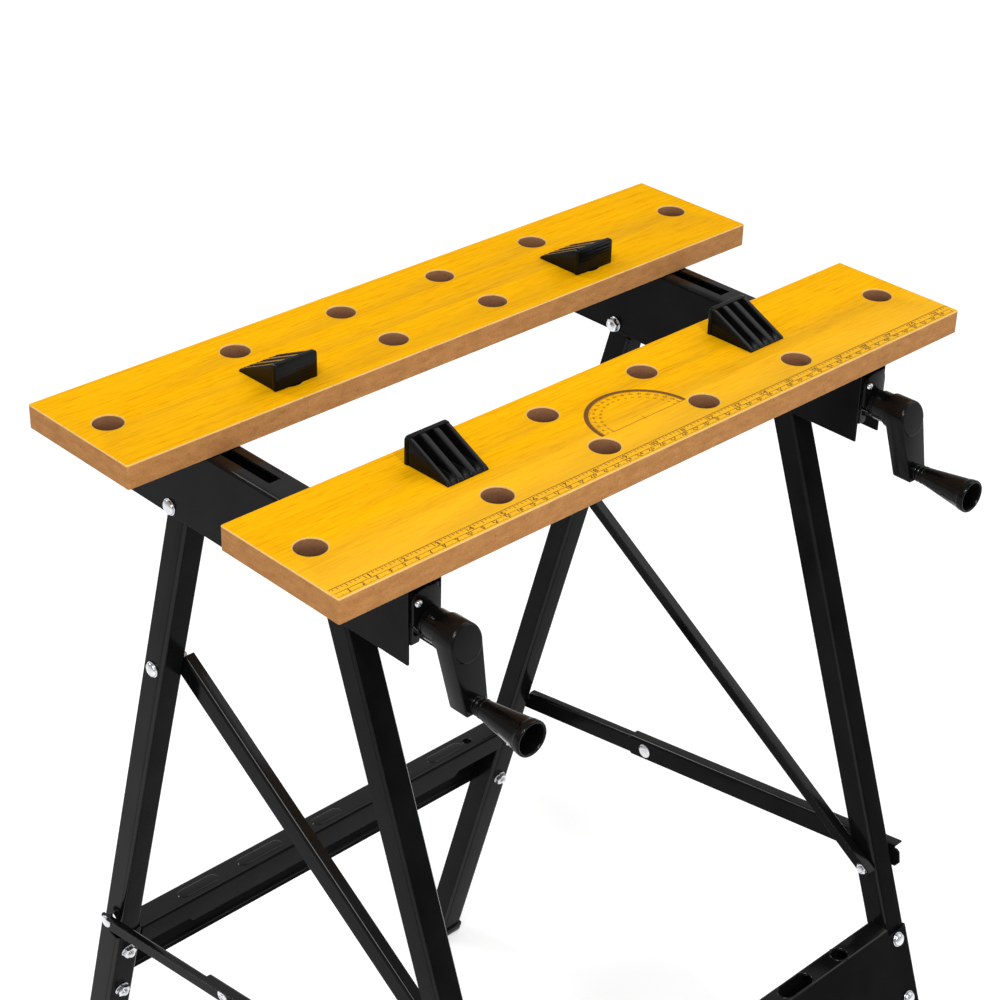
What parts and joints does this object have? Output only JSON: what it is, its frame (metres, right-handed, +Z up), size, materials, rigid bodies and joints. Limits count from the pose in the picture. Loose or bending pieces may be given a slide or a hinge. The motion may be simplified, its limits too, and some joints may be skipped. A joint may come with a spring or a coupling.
{
  "type": "folding workbench",
  "caption": "Folding clamp workbench with two drilled laminate jaws on steel rails, crank screws with swivel grips, wedge pegs and splayed folding legs.",
  "frame": {"origin": "centre of the footprint on the floor, midway between the front and rear feet", "axes": "+X along the jaws to the right, +Y from the front jaw (crank side) towards the rear jaw, +Z up"},
  "size_m": [0.555, 0.6352, 0.8093],
  "materials": {
    "laminate_board": "yellow wood-grain laminate on brown fibreboard, printed rule and protractor",
    "black_paint": "smooth glossy black powder coat",
    "zinc_steel": "bright zinc plate",
    "black_plastic": "satin black moulded plastic"
  },
  "bodies": {
    "front_frame": {"front_foot_left": "black_plastic", "front_foot_right": "black_plastic", "front_leg_left": "black_paint", "front_leg_right": "black_paint", "front_lower_leg_left": "black_paint", "front_lower_leg_right": "black_paint", "front_pivot_bolt_left": "zinc_steel", "front_pivot_bolt_right": "zinc_steel", "stay_bolt_left": "zinc_steel", "stay_bolt_right": "zinc_steel", "step_bolt_left_lower": "zinc_steel", "step_bolt_left_upper": "zinc_steel", "step_bolt_right_lower": "zinc_steel", "step_bolt_right_upper": "zinc_steel", "step_plate": "black_paint"},
    "top_frame": {"bush_left": "black_plastic", "bush_right": "black_plastic", "bush_screw_left": "zinc_steel", "bush_screw_right": "zinc_steel", "front_jaw": "laminate_board", "rail_left": "black_paint", "rail_right": "black_paint", "rear_pivot_bolt_left": "zinc_steel", "rear_pivot_bolt_right": "zinc_steel"},
    "rear_frame": {"brace_bolt_left": "zinc_steel", "brace_bolt_right": "zinc_steel", "cross_rail_bolt_left_lower": "zinc_steel", "cross_rail_bolt_left_upper": "zinc_steel", "cross_rail_bolt_right_lower": "zinc_steel", "cross_rail_bolt_right_upper": "zinc_steel", "rear_cross_rail": "black_paint", "rear_foot_left": "black_plastic", "rear_foot_right": "black_plastic", "rear_leg_left": "black_paint", "rear_leg_right": "black_paint", "rear_lower_leg_left": "black_paint", "rear_lower_leg_right": "black_paint"},
    "brace_pair": {"brace_left": "black_paint", "brace_right": "black_paint"},
    "front_stays": {"front_stay_left": "black_paint", "front_stay_right": "black_paint", "stay_mid_rivet_left": "zinc_steel", "stay_mid_rivet_right": "zinc_steel"},
    "rear_stays": {"rear_stay_left": "black_paint", "rear_stay_right": "black_paint", "stay_rear_rivet_left": "zinc_steel", "stay_rear_rivet_right": "zinc_steel"},
    "moving_jaw": {"rear_jaw": "laminate_board", "slide_block_left": "black_plastic", "slide_block_right": "black_plastic"},
    "crank_left_body": {"clamp_screw_left": "zinc_steel", "crank_arm_left": "black_plastic"},
    "crank_right_body": {"clamp_screw_right": "zinc_steel", "crank_arm_right": "black_plastic"},
    "grip_left_body": {"grip_left": "black_plastic"},
    "grip_right_body": {"grip_right": "black_plastic"},
    "peg_front_left_body": {"peg_front_left": "black_plastic"},
    "peg_front_right_body": {"peg_front_right": "black_plastic"},
    "peg_rear_left_body": {"peg_rear_left": "black_plastic"},
    "peg_rear_right_body": {"peg_rear_right": "black_plastic"}
  },
  "joints": [
    {"name": "fold", "type": "hinge", "parent": "front_frame", "child": "top_frame", "pos_m": [0, -0.04993, 0.727], "axis": [1, 0, 0], "range_deg": [0, 49.5]},
    {"name": "rear_leg_fold", "type": "hinge", "parent": "top_frame", "child": "rear_frame", "pos_m": [0, 0.10873, 0.719], "axis": [-1, 0, 0], "range_deg": [0, 84.1]},
    {"name": "brace_fold", "type": "hinge", "parent": "rear_frame", "child": "brace_pair", "pos_m": [0, 0.14451, 0.574], "axis": [1, 0, 0], "range_deg": [0, 63.78]},
    {"name": "front_stay_fold", "type": "hinge", "parent": "front_frame", "child": "front_stays", "pos_m": [0, -0.17189, 0.373], "axis": [1, 0, 0], "range_deg": [0, 66.15]},
    {"name": "rear_stay_fold", "type": "hinge", "parent": "front_stays", "child": "rear_stays", "pos_m": [0, 0.07342, 0.33218], "axis": [-1, 0, 0], "range_deg": [0, 165.82]},
    {"name": "jaw_slide", "type": "slide", "parent": "top_frame", "child": "moving_jaw", "axis": [0, -1, 0], "range_m": [0, 0.08875]},
    {"name": "crank_left_turn", "type": "hinge", "parent": "top_frame", "child": "crank_left_body", "pos_m": [-0.204, -0.1315, 0.741], "axis": [0, 1, 0], "range_deg": [0, 6390.5]},
    {"name": "grip_left_spin", "type": "hinge", "parent": "crank_left_body", "child": "grip_left_body", "pos_m": [-0.204, -0.1815, 0.704], "axis": [0, 1, 0], "continuous": true},
    {"name": "crank_right_turn", "type": "hinge", "parent": "top_frame", "child": "crank_right_body", "pos_m": [0.204, -0.1315, 0.741], "axis": [0, 1, 0], "range_deg": [0, 6390.5]},
    {"name": "grip_right_spin", "type": "hinge", "parent": "crank_right_body", "child": "grip_right_body", "pos_m": [0.204, -0.1815, 0.704], "axis": [0, 1, 0], "continuous": true},
    {"name": "peg_front_left_turn", "type": "hinge", "parent": "top_frame", "child": "peg_front_left_body", "pos_m": [-0.135, -0.052, 0.79], "axis": [0, 0, 1], "range_deg": [-90, 90]},
    {"name": "peg_front_right_turn", "type": "hinge", "parent": "top_frame", "child": "peg_front_right_body", "pos_m": [0.135, -0.052, 0.79], "axis": [0, 0, 1], "range_deg": [-90, 90]},
    {"name": "peg_rear_left_turn", "type": "hinge", "parent": "moving_jaw", "child": "peg_rear_left_body", "pos_m": [-0.135, 0.089, 0.79], "axis": [0, 0, 1], "range_deg": [-90, 90]},
    {"name": "peg_rear_right_turn", "type": "hinge", "parent": "moving_jaw", "child": "peg_rear_right_body", "pos_m": [0.135, 0.089, 0.79], "axis": [0, 0, 1], "range_deg": [-90, 90]}
  ],
  "couplings": [
    {"joint": "rear_leg_fold", "follows": "fold", "ratio": 1.6987},
    {"joint": "brace_fold", "follows": "fold", "ratio": 1.2883},
    {"joint": "front_stay_fold", "follows": "fold", "ratio": 1.3362},
    {"joint": "rear_stay_fold", "follows": "fold", "ratio": 3.3496},
    {"joint": "crank_left_turn", "follows": "jaw_slide", "rad_per_m": 1256.6},
    {"joint": "crank_right_turn", "follows": "jaw_slide", "rad_per_m": 1256.6}
  ]
}
